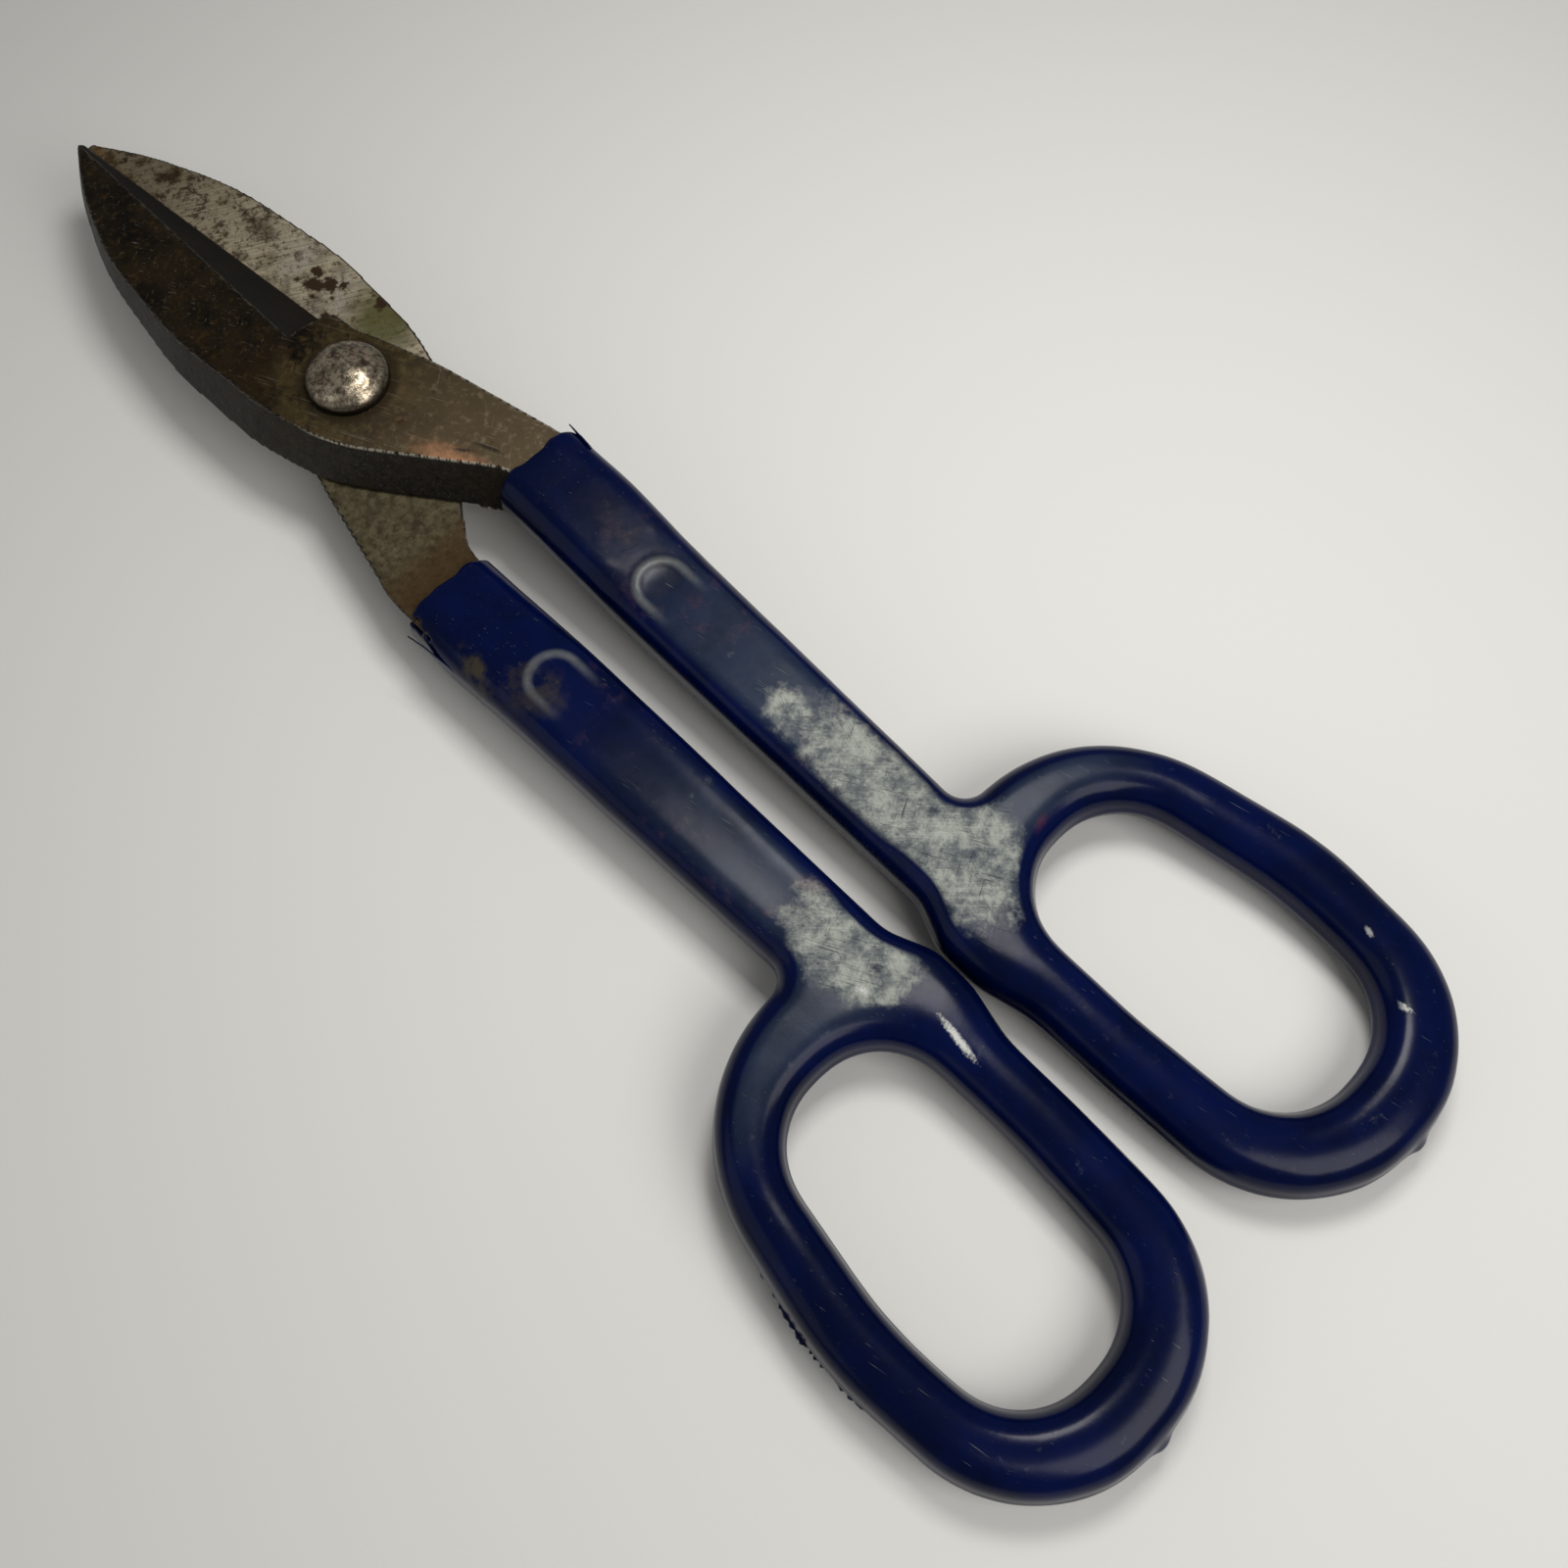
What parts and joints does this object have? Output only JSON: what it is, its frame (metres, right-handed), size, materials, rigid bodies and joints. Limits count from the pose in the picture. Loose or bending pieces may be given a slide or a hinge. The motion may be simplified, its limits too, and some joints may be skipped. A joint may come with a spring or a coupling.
{
  "type": "tin snips",
  "caption": "Straight-pattern tin snips: crossed forged halves on a domed pivot bolt, with vinyl-dipped loop handles.",
  "frame": {"origin": "centre of the pivot bolt's tail end face, on the pivot axis", "axes": "+Z along the pivot axis towards the domed head, +X from the pivot to the blade tips, +Y towards the lower handle"},
  "size_m": [0.3203, 0.1192, 0.0311],
  "materials": {
    "forged_steel": "worn and rust-flecked",
    "dip_vinyl": "satin, scuffed",
    "bolt_steel": "mottled",
    "nut_steel": "zinc, dulled",
    "nylon": "matt"
  },
  "bodies": {
    "lower_half": {"lower_forging": "forged_steel", "lower_grip": "dip_vinyl"},
    "upper_half": {"upper_forging": "forged_steel", "upper_grip": "dip_vinyl", "pivot_bolt": "bolt_steel", "thrust_washer": "nut_steel", "pivot_nut": "nut_steel", "nut_lock_ring": "nylon"}
  },
  "joints": [
    {"name": "pivot", "type": "hinge", "parent": "lower_half", "child": "upper_half", "pos_m": [0, 0, 0.01723], "axis": [0, 0, 1], "range_deg": [0, 40]}
  ]
}
